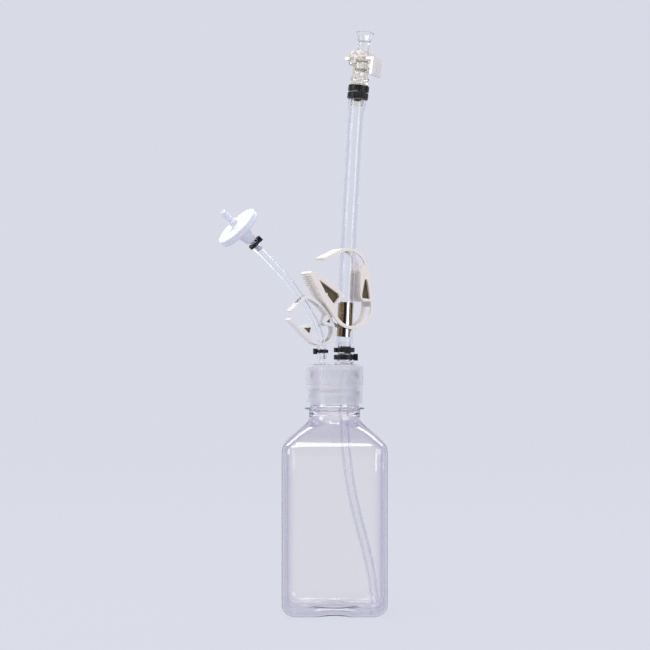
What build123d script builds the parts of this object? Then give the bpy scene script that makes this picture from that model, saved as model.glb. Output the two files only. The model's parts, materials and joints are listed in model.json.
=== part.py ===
from build123d import *
import math
import os

# Sterile liquid-transfer bottle: a square media bottle with a two-port screw closure, a dip tube,
# a transfer tube that ends in a quick coupling with a plug, and a vent tube that ends in a disc
# filter. Each tube has a pinch clamp and is held on its barbs by cable ties.
#
# Millimetres. +Z is up, the origin is the middle of the bottle's footprint and the front is -Y.
# Both ports, tubes and clamps lie in one upright plane, the tube plane, turned about Z. A place
# in it is (s, z): s along the plane to the right, z up from the surface that the bottle stands on.

# ---------------------------------------------------------------- driving dimensions
# bottle
BODY_WIDTH = 83.2
BODY_CORNER = 13.0          # vertical corner radius
BASE_ROUND = 9.5            # round of the bottom edges
WALL = 1.4
SHOULDER_START = 124.5
# shoulder sections: half width, height, corner radius
SHOULDER = [(40.9, 131.0, 13.2), (37.2, 137.5, 13.6), (29.4, 144.5, 15.0), (23.8, 149.1, 17.6)]
NECK_BASE = 152.5
NECK_BASE_RADIUS = 21.2
NECK_RADIUS = 20.4
LEDGE_RADIUS = 23.9
LEDGE_HEIGHT = 161.5
LEDGE_THICKNESS = 1.2
FINISH_RADIUS = 19.4        # thread root
RIM_HEIGHT = 191.5
NECK_BORE = 17.4            # radius
PUNT_RADIUS = 23.0
PUNT_HEIGHT = 4.0
ARCH_RADIUS = 58.0          # arches between the four feet
ARCH_HEIGHT = 1.7
TICK_HEIGHTS = (25.0, 45.0, 65.0, 85.0, 105.0)
TICK_SIZE = (7.0, 0.8, 0.3)

# screw thread
PITCH = 4.23
THREAD_DEPTH = 1.1
THREAD_ROOT_WIDTH = 2.0
THREAD_CREST_WIDTH = 1.0
THREAD_SINK = 0.4           # how deep a thread is rooted in its wall
THREAD_START = 170.0
THREAD_TURNS = 1.5

# closure
RING_RADIUS = 22.7
RING_BOTTOM = 165.9
RING_TOP = 197.3
RING_BORE = 20.9            # radius, over the bottle's thread crests
RING_LIP_BORE = 17.6
RING_LIP_BOTTOM = 194.9
BEAD_BOTTOM = 178.0
BEAD_HEIGHT = 2.8
BEAD_RADIUS = 23.1
RIB_COUNT = 90
RIB_BOTTOM = 180.8
RIB_HEIGHT = 14.4
RIB_DEPTH = 0.35
RIB_WIDTH = 0.8
GASKET_THICKNESS = 1.2
GASKET_RADII = (16.2, 20.2)
INSERT_FLANGE_RADIUS = 20.4
INSERT_FLANGE_TOP = 194.7
INSERT_DISC_RADIUS = 17.2
INSERT_TOP = 197.5

# tube plane and ports
PLANE_YAW = 25.0
TRANSFER_PORT = 8.6         # s of the transfer port
VENT_PORT = -11.0

# transfer tube, 1/2 in outside and 3/8 in bore
TRANSFER_OD = 12.7
TRANSFER_ID = 9.5
TRANSFER_END_OD = 14.2      # stretched over a barb
TRANSFER_BARB = 5.25        # barb radius
TRANSFER_END = 199.2        # height of the lower end
SLEEVE_LENGTH = 15.0
SLEEVE_TAPER = 4.0
TAPER_SINK = 0.3            # how far the taper's small end lies under the tube's surface
TRANSFER_ROUTE = [
    (8.6, 199.2), (8.6, 219.5), (10.5, 253.5), (11.7, 283.5), (13.5, 314.5),
    (15.4, 343.5), (17.2, 373.5), (18.95, 399.5), (21.9, 421.9),
]

# vent tube, 1/4 in outside and 1/8 in bore
VENT_OD = 6.35
VENT_ID = 3.2
VENT_END_OD = 7.4
VENT_BARB = 2.1
VENT_SLEEVE = 8.0
VENT_TAPER = 2.0
VENT_ROUTE = [
    (-11.0, 201.7), (-11.0, 214.0), (-14.4, 227.0), (-21.2, 238.5), (-29.8, 251.1),
    (-39.3, 263.8), (-49.7, 273.9), (-60.6, 284.2), (-72.0, 294.6),
]

# dip tube
DIP_OD = 7.6
DIP_ID = 4.8
DIP_ROUTE = [
    (8.6, 191.9), (8.6, 165.5), (9.2, 138.5), (12.6, 108.5), (18.9, 79.5),
    (28.0, 49.5), (34.6, 22.5), (36.8, 3.8),
]

ARC_SHARE = 0.45            # share of the shorter run that a route's arc takes
BARB_GAP = 0.03             # between a barb and the bore over it

# steel liner
STEEL_OD = 9.1
STEEL_ID = 7.7
STEEL_SPAN = (219.3, 247.0)

# cable ties
TIE_THICKNESS = 1.3
TIE_GAP = 0.03              # between a strap and the tube under it
TRANSFER_TIES = (202.9, 208.7)
COUPLING_TIES = (-9.2, -3.2)    # along the coupling's axis
VENT_TIE = 207.7

# large pinch clamp, on the transfer tube
LARGE_PLACE = (10.45, 251.5)
LARGE_WIDTH = 18.0
LARGE_STRAP = 2.6
LARGE_SLOT = 13.4           # width of the slots that the tube passes
LARGE_HINGE = (1.8, -24.9)
LARGE_FOOT_RADIUS = 17.4
LARGE_KNUCKLE = 1.7
PAD_RIBS = 11
PAD_RIB_PITCH = 1.85

# small pinch clamp, on the vent tube
SMALL_PLACE = (-17.1, 229.3)
SMALL_WIDTH = 9.4
SMALL_STRAP = 2.2
SMALL_SLOT = 6.9
SMALL_HINGE = (3.0, -15.6)
SMALL_FOOT_RADIUS = 14.0
SMALL_KNUCKLE = 1.4

KNUCKLE_GAP = 0.2

# vent filter, on its own axis; heights run along the axis from the tie
FILTER_PLACE = (-69.4, 292.2)
FILTER_HEADING = 137.5
FILTER_RADIUS = 18.5
FILTER_CHAMBER = 16.4
FILTER_FACE_IN = 15.4
FILTER_SPLIT = 18.4
FILTER_FACE_OUT = 21.3
FILTER_TUBE_END = 3.55      # where the vent tube ends on the hub
FILTER_BARB_START = -6.4
FILTER_BORE = 1.2
OUTLET_RADIUS = 2.4
OUTLET_LENGTH = 10.5
OUTLET_COLLAR = (3.35, 5.0)
FILTER_CHAMBER_SPAN = (17.3, 19.6)
MEMBRANE_THICKNESS = 0.3
SUPPORT_THICKNESS = 0.8
SUPPORT_RIBS = 12

# quick coupling, on its own axis; heights run along the axis from the top end of the tube
COUPLING_PLACE = (21.9, 421.9)
COUPLING_TILT = 7.5         # to the right of upright
LATCH_YAW = -35.0           # direction of the thumb tab, about Z
FLOW_BORE = 3.6
PLUG_BORE = 5.0
PLUG_BORE_START = 8.0
FLANGE_BOTTOM = 15.5
LATCH_GAP = (19.0, 22.0)
COLLAR_TOP = 26.4
FLANGE_RADIUS = 10.3
COLLAR_RADIUS = 10.7
LATCH_THICKNESS = 2.5
LATCH_WIDTH = 13.0
LATCH_TRAVEL = 2.0
TAB_INNER = 12.9
TAB_THICKNESS = 2.6
TAB_HEIGHT = 14.8
SPRING_PLACE = (6.7, 11.5)      # distance from the axis, height
SPRING_PITCH = 1.1
SPRING_RADIUS = 1.9
SPRING_WIRE = 0.5
PLUG_RADIUS = 4.7
PLUG_TOP = 42.4
PLUG_FLARE = 7.4


# ---------------------------------------------------------------- frames
ALONG = Vector(math.cos(math.radians(PLANE_YAW)), math.sin(math.radians(PLANE_YAW)), 0)
FORWARD = Vector(math.sin(math.radians(PLANE_YAW)), -math.cos(math.radians(PLANE_YAW)), 0)
UP = Vector(0, 0, 1)
TUBE_PLANE = Plane(origin=(0, 0, 0), x_dir=ALONG, z_dir=FORWARD)
ON_AXIS = (Align.CENTER, Align.CENTER, Align.MIN)


def place(s, z):
    """Point of the tube plane."""
    return ALONG * s + UP * z


def heading_vector(heading):
    """Unit vector in the tube plane; 0 points right and 90 points up."""
    angle = math.radians(heading)
    return ALONG * math.cos(angle) + UP * math.sin(angle)


def cross_plane(s, z, heading):
    """Plane square to a heading at a place; its X axis looks out of the front."""
    return Plane(origin=place(s, z), x_dir=FORWARD, z_dir=heading_vector(heading))


def clamp_plane(where):
    """Middle plane of a clamp: X to the right, Y up and Z out of the front."""
    return Plane(origin=place(*where), x_dir=ALONG, z_dir=FORWARD)


def corner_radii(points):
    """Radius of the arc at each corner of a route."""
    radii = []
    for before, corner, after in zip(points, points[1:], points[2:]):
        run_in, run_out = corner - before, after - corner
        half_turn = math.radians(run_in.get_angle(run_out)) / 2
        shorter = min(run_in.length, run_out.length)
        radii.append(ARC_SHARE * shorter / math.tan(half_turn))
    return radii


def routed_rod(name, route, diameter):
    """Rod of constant section along a route of straight runs joined by tangent arcs."""
    points = [place(*point) for point in route]
    radii = corner_radii(points)
    with BuildPart() as rod:
        with BuildLine() as path:
            FilletPolyline(*points, radius=radii)
        with BuildSketch(Plane(origin=points[0], z_dir=points[1] - points[0])):
            Circle(diameter / 2)
        sweep()
    length = path.wires()[0].length
    section = math.pi * diameter**2 / 4
    print(f"{name}: length {length:.1f}, radii {[round(radius) for radius in radii]},",
          f"volume over section x length {rod.part.volume / (section * length):.4f}")
    return rod.part


def finish(piece, name):
    """Label a finished piece and write its STEP file."""
    piece.part.label = name
    export_step(piece.part, f"parts/{name}.step")
    solids = len(piece.part.solids())
    print(f"{name}: {solids} solid(s), volume {piece.part.volume:.1f}")


os.makedirs("parts", exist_ok=True)


# ---------------------------------------------------------------- bottle
def bottle_form(inset):
    """The bottle's outside (inset 0), or its inside (inset by the wall) up to the shoulder's top."""
    half = BODY_WIDTH / 2 - inset
    with BuildPart() as form:
        with BuildSketch(Plane.XY.offset(inset)):
            RectangleRounded(2 * half, 2 * half, BODY_CORNER - inset)
        extrude(amount=SHOULDER_START - inset)
        fillet(form.edges().group_by(Axis.Z)[0], BASE_ROUND - inset)
        for half_width, height, corner in [(BODY_WIDTH / 2, SHOULDER_START, BODY_CORNER)] + SHOULDER:
            with BuildSketch(Plane.XY.offset(height)):
                RectangleRounded(2 * (half_width - inset), 2 * (half_width - inset), corner - inset)
        with BuildSketch(Plane.XY.offset(NECK_BASE)):
            top = 2 * (NECK_BASE_RADIUS - inset)
            RectangleRounded(top, top, top / 2 - 0.05)
        loft()
        Cone(PUNT_RADIUS + inset, PUNT_RADIUS + inset - 6, PUNT_HEIGHT + inset, align=ON_AXIS,
             mode=Mode.SUBTRACT)
        for arch_plane in (Plane.XZ, Plane.YZ):
            with BuildSketch(arch_plane.offset(-BODY_WIDTH)):
                with Locations((0, ARCH_HEIGHT - ARCH_RADIUS)):
                    Circle(ARCH_RADIUS + inset)
            extrude(amount=2 * BODY_WIDTH, mode=Mode.SUBTRACT)
    return form.part


def thread(root_radius, start_height, turns, inward=False):
    """Helical ridge rooted in a wall; it points outward, or inward in a ring."""
    side = -1 if inward else 1
    with BuildPart() as ridge:
        with BuildLine() as path:
            Helix(PITCH, PITCH * turns, root_radius)
        with BuildSketch(Plane.XZ):
            with BuildLine():
                Polyline(
                    (root_radius - side * THREAD_SINK, -THREAD_ROOT_WIDTH / 2),
                    (root_radius + side * THREAD_DEPTH, -THREAD_CREST_WIDTH / 2),
                    (root_radius + side * THREAD_DEPTH, THREAD_CREST_WIDTH / 2),
                    (root_radius - side * THREAD_SINK, THREAD_ROOT_WIDTH / 2),
                    close=True,
                )
            make_face()
        sweep(path=path.wires()[0], is_frenet=True)
    return ridge.part.moved(Location((0, 0, start_height)))


bottle_outside = bottle_form(0)
bottle_inside = bottle_form(WALL)
neck_thread = thread(FINISH_RADIUS, THREAD_START, THREAD_TURNS)

with BuildPart() as bottle:
    with Locations((0, 0, NECK_BASE - 4)):
        Cylinder(FINISH_RADIUS, RIM_HEIGHT - NECK_BASE + 4, align=ON_AXIS)
    add(neck_thread)
    with Locations((0, 0, NECK_BASE - 4)):
        Cylinder(NECK_RADIUS, LEDGE_HEIGHT + LEDGE_THICKNESS - NECK_BASE + 4, align=ON_AXIS)
    with Locations((0, 0, LEDGE_HEIGHT)):
        Cylinder(LEDGE_RADIUS, LEDGE_THICKNESS, align=ON_AXIS)
    add(bottle_outside)
    add(bottle_inside, mode=Mode.SUBTRACT)
    with Locations((0, 0, NECK_BASE - 6)):
        Cylinder(NECK_BORE, RIM_HEIGHT - NECK_BASE + 6, align=ON_AXIS, mode=Mode.SUBTRACT)
    with Locations(*[(-8.0, -BODY_WIDTH / 2, height) for height in TICK_HEIGHTS]):
        Box(TICK_SIZE[0], 2 * TICK_SIZE[2], TICK_SIZE[1])
finish(bottle, "bottle")


# ---------------------------------------------------------------- closure
ring_thread = thread(RING_BORE, THREAD_START + PITCH / 2, THREAD_TURNS, inward=True)

with BuildPart() as closure_ring:
    with Locations((0, 0, RING_BOTTOM)):
        Cylinder(RING_RADIUS, RING_TOP - RING_BOTTOM, align=ON_AXIS)
    fillet(closure_ring.edges().group_by(Axis.Z)[-1], 1.6)
    with Locations((0, 0, BEAD_BOTTOM)):
        Cylinder(BEAD_RADIUS, BEAD_HEIGHT, align=ON_AXIS)
    with BuildSketch(Plane.XY.offset(RIB_BOTTOM)):
        with PolarLocations(RING_RADIUS, RIB_COUNT):
            Rectangle(2 * RIB_DEPTH, RIB_WIDTH)
    extrude(amount=RIB_HEIGHT)
    with Locations((0, 0, RING_BOTTOM)):
        Cylinder(RING_BORE, RING_LIP_BOTTOM - RING_BOTTOM, align=ON_AXIS, mode=Mode.SUBTRACT)
        Cylinder(RING_LIP_BORE, RING_TOP - RING_BOTTOM, align=ON_AXIS, mode=Mode.SUBTRACT)
    add(ring_thread)
finish(closure_ring, "closure_ring")

with BuildPart() as closure_gasket:
    with BuildSketch(Plane.XY.offset(RIM_HEIGHT)):
        Circle(GASKET_RADII[1])
        Circle(GASKET_RADII[0], mode=Mode.SUBTRACT)
    extrude(amount=GASKET_THICKNESS)
finish(closure_gasket, "closure_gasket")


def facing_back(plane):
    """The same plane with its normal reversed."""
    return Plane(origin=plane.origin, x_dir=plane.x_dir, z_dir=-plane.z_dir)


def barbed_stem(plane, length, barb_radius, barbs):
    """Solid stem with sawtooth barbs that point away from the plane."""
    root = barb_radius * 0.86
    pitch = length / (barbs + 0.5)
    with Locations(plane):
        Cylinder(root, length, align=ON_AXIS)
    for index in range(barbs):
        with Locations(plane.offset(pitch * (index + 0.5))):
            Cone(barb_radius, root, pitch * 0.9, align=ON_AXIS)


insert_bottom = RIM_HEIGHT + GASKET_THICKNESS
transfer_stem = cross_plane(TRANSFER_PORT, INSERT_TOP, 90)
vent_stem = cross_plane(VENT_PORT, INSERT_TOP, 90)
dip_stem = cross_plane(DIP_ROUTE[0][0], DIP_ROUTE[0][1], -90)
dip_top = DIP_ROUTE[0][1]

with BuildPart() as port_insert:
    with Locations((0, 0, insert_bottom)):
        Cylinder(INSERT_FLANGE_RADIUS, INSERT_FLANGE_TOP - insert_bottom, align=ON_AXIS)
        Cylinder(INSERT_DISC_RADIUS, INSERT_TOP - insert_bottom, align=ON_AXIS)
    fillet(port_insert.edges().group_by(Axis.Z)[-1], 0.6)
    with Locations(transfer_stem):
        Cylinder(7.6, TRANSFER_END - INSERT_TOP, align=ON_AXIS)
    barbed_stem(transfer_stem, 17.5, TRANSFER_BARB, 3)
    with Locations(vent_stem):
        Cylinder(2.55, VENT_ROUTE[0][1] - INSERT_TOP, align=ON_AXIS)
    barbed_stem(vent_stem, 12.0, VENT_BARB, 3)
    with Locations(cross_plane(DIP_ROUTE[0][0], insert_bottom, -90)):
        Cylinder(4.6, insert_bottom - dip_top, align=ON_AXIS)
    barbed_stem(dip_stem, 11.0, DIP_ID / 2 - 0.02, 2)
    with Locations(cross_plane(TRANSFER_PORT, dip_top - 11.0, 90)):
        Cylinder(1.6, insert_bottom + 2 - dip_top + 11.0, align=ON_AXIS, mode=Mode.SUBTRACT)
    with Locations(cross_plane(TRANSFER_PORT, insert_bottom + 2, 90)):
        Cylinder(FLOW_BORE, INSERT_TOP + 17.5 - insert_bottom - 2, align=ON_AXIS, mode=Mode.SUBTRACT)
    with Locations(cross_plane(VENT_PORT, insert_bottom, 90)):
        Cylinder(1.0, INSERT_TOP + 12.0 - insert_bottom, align=ON_AXIS, mode=Mode.SUBTRACT)
finish(port_insert, "port_insert")


# ---------------------------------------------------------------- tubes
def stretched_end(plane, sleeve, taper, tube_radius, end_radius):
    """Wider end where a tube is pushed over a barb; the plane is at its end face."""
    with Locations(plane):
        Cylinder(end_radius, sleeve, align=ON_AXIS)
    with Locations(plane.offset(sleeve)):
        Cone(end_radius, tube_radius - TAPER_SINK, taper, align=ON_AXIS)


def stretched_bore(plane, length, barb_radius):
    """Bore that a barb fills, cut from a stretched end."""
    with Locations(plane):
        Cylinder(barb_radius + BARB_GAP, length, align=ON_AXIS, mode=Mode.SUBTRACT)


coupling_heading = 90 - COUPLING_TILT
transfer_ends = (cross_plane(*TRANSFER_ROUTE[0], 90), cross_plane(*COUPLING_PLACE, coupling_heading - 180))
transfer_outside = routed_rod("transfer_tube", TRANSFER_ROUTE, TRANSFER_OD)
transfer_bore = routed_rod("transfer_tube bore", TRANSFER_ROUTE, TRANSFER_ID)
with BuildPart() as transfer_tube:
    add(transfer_outside)
    for end_plane in transfer_ends:
        stretched_end(end_plane, SLEEVE_LENGTH, SLEEVE_TAPER, TRANSFER_OD / 2, TRANSFER_END_OD / 2)
    add(transfer_bore, mode=Mode.SUBTRACT)
    for end_plane in transfer_ends:
        stretched_bore(end_plane, SLEEVE_LENGTH + SLEEVE_TAPER, TRANSFER_BARB)
finish(transfer_tube, "transfer_tube")

vent_ends = (cross_plane(*VENT_ROUTE[0], 90), cross_plane(*VENT_ROUTE[-1], FILTER_HEADING - 180))
vent_outside = routed_rod("vent_tube", VENT_ROUTE, VENT_OD)
vent_bore = routed_rod("vent_tube bore", VENT_ROUTE, VENT_ID)
with BuildPart() as vent_tube:
    add(vent_outside)
    for end_plane in vent_ends:
        stretched_end(end_plane, VENT_SLEEVE, VENT_TAPER, VENT_OD / 2, VENT_END_OD / 2)
    add(vent_bore, mode=Mode.SUBTRACT)
    for end_plane in vent_ends:
        stretched_bore(end_plane, VENT_SLEEVE + VENT_TAPER, VENT_BARB)
finish(vent_tube, "vent_tube")

dip_outside = routed_rod("dip_tube", DIP_ROUTE, DIP_OD)
dip_bore = routed_rod("dip_tube bore", DIP_ROUTE, DIP_ID)
with BuildPart() as dip_tube:
    add(dip_outside)
    add(dip_bore, mode=Mode.SUBTRACT)
finish(dip_tube, "dip_tube")

steel_run = place(*TRANSFER_ROUTE[2]) - place(*TRANSFER_ROUTE[1])
steel_start = place(*TRANSFER_ROUTE[1]) + steel_run * (
    (STEEL_SPAN[0] - TRANSFER_ROUTE[1][1]) / (TRANSFER_ROUTE[2][1] - TRANSFER_ROUTE[1][1]))
with BuildPart() as steel_tube:
    with BuildSketch(Plane(origin=steel_start, x_dir=FORWARD, z_dir=steel_run)):
        Circle(STEEL_OD / 2)
        Circle(STEEL_ID / 2, mode=Mode.SUBTRACT)
    extrude(amount=STEEL_SPAN[1] - STEEL_SPAN[0])
finish(steel_tube, "steel_tube")


# ---------------------------------------------------------------- cable ties
def cable_tie(name, plane, tube_radius, width, head_angle, head):
    """Strap round a tube with a head block and a cut tail; the plane is at the strap's middle."""
    inner = tube_radius + TIE_GAP
    outer = inner + TIE_THICKNESS
    head_length, head_height, head_depth = head
    with BuildPart() as tie:
        with BuildSketch(plane.offset(-width / 2)):
            Circle(outer)
            Circle(inner, mode=Mode.SUBTRACT)
        extrude(amount=width)
        with Locations(plane):
            with PolarLocations(inner + head_depth / 2 + 0.3, 1, start_angle=head_angle):
                Box(head_depth, head_length, head_height)
                with Locations((head_depth / 2 - 0.9, 0, 0)):
                    Box(1.0, head_length * 2, width * 0.6)
                with Locations((head_depth / 2, -head_length * 0.25, 0)):
                    Box(0.8, head_length * 0.25, head_height * 0.5, mode=Mode.SUBTRACT)
        with Locations(plane.offset(-width)):
            Cylinder(inner, 2 * width, align=ON_AXIS, mode=Mode.SUBTRACT)
    finish(tie, name)


def coupling_plane(height):
    """Plane square to the coupling's axis, at a height along it."""
    return cross_plane(*COUPLING_PLACE, coupling_heading).offset(height)


def filter_plane(height):
    """Plane square to the filter's axis, at a height along it."""
    return cross_plane(*FILTER_PLACE, FILTER_HEADING).offset(height)


big_head = (4.6, 5.4, 3.4)
small_head = (3.8, 4.4, 3.0)
cable_tie("transfer_tie_lower", cross_plane(TRANSFER_PORT, TRANSFER_TIES[0], 90),
          TRANSFER_END_OD / 2, 3.8, 72, big_head)
cable_tie("transfer_tie_upper", cross_plane(TRANSFER_PORT, TRANSFER_TIES[1], 90),
          TRANSFER_END_OD / 2, 3.6, -8, big_head)
cable_tie("coupling_tie_lower", coupling_plane(COUPLING_TIES[0]),
          TRANSFER_END_OD / 2, 4.4, -6, (5.2, 6.2, 3.6))
cable_tie("coupling_tie_upper", coupling_plane(COUPLING_TIES[1]),
          TRANSFER_END_OD / 2, 4.4, 140, (5.2, 6.0, 3.6))
cable_tie("vent_tie", cross_plane(VENT_PORT, VENT_TIE, 90), VENT_END_OD / 2, 2.5, -105, small_head)
cable_tie("filter_tie", filter_plane(0), VENT_END_OD / 2, 2.5, 82, small_head)


# ---------------------------------------------------------------- pinch clamps
def slot(plane, left, right, low, high, depth):
    """Cut the tube's passage through a strap."""
    with Locations(plane):
        with Locations(((left + right) / 2, (low + high) / 2, 0)):
            Box(right - left, high - low, depth, mode=Mode.SUBTRACT)


def outline(*points, mode=Mode.ADD):
    """Face inside a closed outline."""
    Polygon(*points, align=None, mode=mode)


large_plane = clamp_plane(LARGE_PLACE)
small_plane = clamp_plane(SMALL_PLACE)

with BuildPart() as large_clamp_body:
    with BuildSketch(large_plane.offset(-LARGE_WIDTH / 2)):
        with BuildLine():
            foot = JernArc(LARGE_HINGE, (1, 0), LARGE_FOOT_RADIUS, 99.5)
            back = PolarLine(foot @ 1, 29.0, direction=foot % 1)
            crown = JernArc(back @ 1, back % 1, 16.3, 105.5)
            PolarLine(crown @ 1, 15.8, direction=crown % 1)
        trace(line_width=LARGE_STRAP)
        outline((8.6, 18.8), (10.6, 25.0), (14.0, 25.0), (18.6, -1.0), (18.8, -4.2), (11.1, -3.8),
                (8.6, -1.2))
        outline((12.3, 13.6), (14.2, 13.8), (15.4, 9.0), (17.0, -2.0), (9.9, -1.2), (9.8, 1.5),
                mode=Mode.SUBTRACT)
    extrude(amount=LARGE_WIDTH)
    slot(large_plane, -6.8, 22.0, 20.6, 42.0, LARGE_SLOT)
    slot(large_plane, -3.0, 24.0, -30.0, -8.0, LARGE_SLOT)
    with Locations(large_plane):
        with Locations(LARGE_HINGE):
            Cylinder(LARGE_KNUCKLE + KNUCKLE_GAP, 2 * LARGE_WIDTH, mode=Mode.SUBTRACT)
finish(large_clamp_body, "large_clamp_body")

pad_foot = Vector(-25.6, -0.9, 0)
pad_top = Vector(-36.2, 18.1, 0)
pad_run = (pad_top - pad_foot).normalized()
pad_angle = math.degrees(math.atan2(pad_run.Y, pad_run.X))

with BuildPart() as large_clamp_arm:
    with BuildSketch(large_plane.offset(-LARGE_WIDTH / 2)):
        with BuildLine():
            bend = JernArc(LARGE_HINGE, (-1, 0), LARGE_FOOT_RADIUS, -56.5)
            PolarLine(bend @ 1, 20.0, direction=bend % 1)
        trace(line_width=LARGE_STRAP)
        with Locations(LARGE_HINGE):
            Circle(LARGE_KNUCKLE)
        outline((-18.2, -11.1), pad_foot, pad_top, (-34.2, 19.7), (-27.9, 17.0), (-9.6, 4.9),
                (-7.2, 2.2), (-6.9, -0.8), (-12.2, -6.4), (-14.2, -9.2), (-14.3, -11.2),
                (-15.2, -12.4))
        outline((-28.0, 13.2), (-10.9, 1.9), (-10.2, -0.4), (-14.8, -6.3), (-20.6, 0.6),
                (-20.7, 2.6), (-22.2, 2.4), mode=Mode.SUBTRACT)
    extrude(amount=LARGE_WIDTH)
    with Locations(large_plane):
        for index in range(PAD_RIBS):
            rib = pad_foot + pad_run * (1.2 + PAD_RIB_PITCH * index)
            with Locations(Location((rib.X, rib.Y, 0), (0, 0, pad_angle))):
                Box(0.8, 0.9, LARGE_WIDTH - 1.2)
    slot(large_plane, -14.5, 6.0, -30.0, -13.6, LARGE_SLOT)
finish(large_clamp_arm, "large_clamp_arm")

with BuildPart() as small_clamp_body:
    with BuildSketch(small_plane.offset(-SMALL_WIDTH / 2)):
        with BuildLine():
            sole = PolarLine(SMALL_HINGE, 1.5, 0)
            heel = JernArc(sole @ 1, sole % 1, 10.4, 108)
            back = JernArc(heel @ 1, heel % 1, 38, 42)
            step = PolarLine(back @ 1, 2.0, direction=back % 1)
            crown = JernArc(step @ 1, step % 1, 7.5, 76)
            PolarLine(crown @ 1, 12.5, direction=crown % 1)
        trace(line_width=SMALL_STRAP)
        outline((8.6, 8.8), (5.5, 2.8), (5.3, 0.8), (6.6, -0.8), (14.0, -1.8), (13.2, 3.0), (10.8, 7.6))
        outline((7.9, 1.8), (10.7, 4.5), (11.4, 1.0), mode=Mode.SUBTRACT)
    extrude(amount=SMALL_WIDTH)
    slot(small_plane, -17.0, 4.0, 10.0, 23.0, SMALL_SLOT)
    slot(small_plane, 0.0, 12.5, -18.0, -8.0, SMALL_SLOT)
    with Locations(small_plane):
        with Locations(SMALL_HINGE):
            Cylinder(SMALL_KNUCKLE + KNUCKLE_GAP, 2 * SMALL_WIDTH, mode=Mode.SUBTRACT)
finish(small_clamp_body, "small_clamp_body")

with BuildPart() as small_clamp_arm:
    with BuildSketch(small_plane.offset(-SMALL_WIDTH / 2)):
        with BuildLine():
            bend = JernArc(SMALL_HINGE, (-1, 0), SMALL_FOOT_RADIUS, -43)
            PolarLine(bend @ 1, 23.4, direction=bend % 1)
        trace(line_width=SMALL_STRAP)
        with Locations(SMALL_HINGE):
            Circle(SMALL_KNUCKLE)
        outline((-16.4, -2.8), (-14.7, -2.0), (-8.6, -0.6), (-4.6, -0.4), (-3.4, -2.0), (-4.6, -5.6),
                (-4.8, -11.2), (-7.6, -11.0))
        outline((-11.6, -3.1), (-5.6, -2.5), (-6.8, -7.6), mode=Mode.SUBTRACT)
    extrude(amount=SMALL_WIDTH)
    slot(small_plane, -2.6, 6.0, -18.0, -9.0, SMALL_SLOT)
finish(small_clamp_arm, "small_clamp_arm")


# ---------------------------------------------------------------- vent filter
def revolved(plane, points):
    """Solid of revolution about a plane's normal, from (radius, height) points."""
    with BuildSketch(Plane(origin=plane.origin, x_dir=plane.x_dir, z_dir=-plane.y_dir)) as profile:
        Polygon(*points, align=None)
    revolve(profile.sketch, axis=Axis(plane.origin, plane.z_dir))


with BuildPart() as filter_inlet_shell:
    revolved(filter_plane(0), [
        (FILTER_BORE, FILTER_TUBE_END), (4.2, FILTER_TUBE_END), (6.2, FILTER_FACE_IN - 1.4),
        (FILTER_RADIUS - 1.2, FILTER_FACE_IN), (FILTER_RADIUS, FILTER_FACE_IN + 0.8),
        (FILTER_RADIUS, FILTER_SPLIT), (FILTER_CHAMBER, FILTER_SPLIT),
        (FILTER_CHAMBER, FILTER_CHAMBER_SPAN[0]), (FILTER_BORE, FILTER_CHAMBER_SPAN[0]),
    ])
    barbed_stem(facing_back(filter_plane(FILTER_TUBE_END)), FILTER_TUBE_END - FILTER_BARB_START,
                VENT_BARB, 3)
    with Locations(filter_plane(FILTER_BARB_START)):
        Cylinder(1.0, FILTER_FACE_IN - FILTER_BARB_START + 1, align=ON_AXIS, mode=Mode.SUBTRACT)
finish(filter_inlet_shell, "filter_inlet_shell")

outlet_step = FILTER_FACE_OUT + OUTLET_COLLAR[1]
with BuildPart() as filter_outlet_shell:
    revolved(filter_plane(0), [
        (FILTER_BORE, FILTER_CHAMBER_SPAN[1]), (FILTER_CHAMBER, FILTER_CHAMBER_SPAN[1]),
        (FILTER_CHAMBER, FILTER_SPLIT), (FILTER_RADIUS, FILTER_SPLIT),
        (FILTER_RADIUS, FILTER_FACE_OUT - 0.5), (FILTER_RADIUS - 0.5, FILTER_FACE_OUT),
        (FILTER_RADIUS - 2.2, FILTER_FACE_OUT), (FILTER_RADIUS - 2.6, FILTER_FACE_OUT - 0.4),
        (5.6, FILTER_FACE_OUT - 0.4), (OUTLET_COLLAR[0], FILTER_FACE_OUT + 1.0),
        (OUTLET_COLLAR[0], outlet_step), (OUTLET_RADIUS, outlet_step),
        (OUTLET_RADIUS, outlet_step + OUTLET_LENGTH - 0.6),
        (OUTLET_RADIUS - 0.5, outlet_step + OUTLET_LENGTH), (FILTER_BORE, outlet_step + OUTLET_LENGTH),
    ])
finish(filter_outlet_shell, "filter_outlet_shell")

membrane_height = FILTER_SPLIT - 0.1
with BuildPart() as filter_membrane:
    with BuildSketch(filter_plane(membrane_height)):
        Circle(FILTER_CHAMBER - 0.1)
    extrude(amount=MEMBRANE_THICKNESS)
finish(filter_membrane, "filter_membrane")

with BuildPart() as filter_support:
    with BuildSketch(filter_plane(membrane_height + MEMBRANE_THICKNESS)):
        Circle(FILTER_CHAMBER - 0.1)
        Circle(FILTER_CHAMBER - 1.5, mode=Mode.SUBTRACT)
        Circle(2.6)
        Circle(1.4, mode=Mode.SUBTRACT)
        with PolarLocations(8.6, SUPPORT_RIBS):
            Rectangle(13.2, 0.8)
    extrude(amount=SUPPORT_THICKNESS)
finish(filter_support, "filter_support")


# ---------------------------------------------------------------- quick coupling
axis_plane = coupling_plane(0)
latch_direction = Vector(math.cos(math.radians(LATCH_YAW)), math.sin(math.radians(LATCH_YAW)), 0)
latch_direction = (latch_direction - axis_plane.z_dir * latch_direction.dot(axis_plane.z_dir)).normalized()
latch_frame = Plane(origin=axis_plane.origin, x_dir=latch_direction, z_dir=axis_plane.z_dir)

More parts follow.
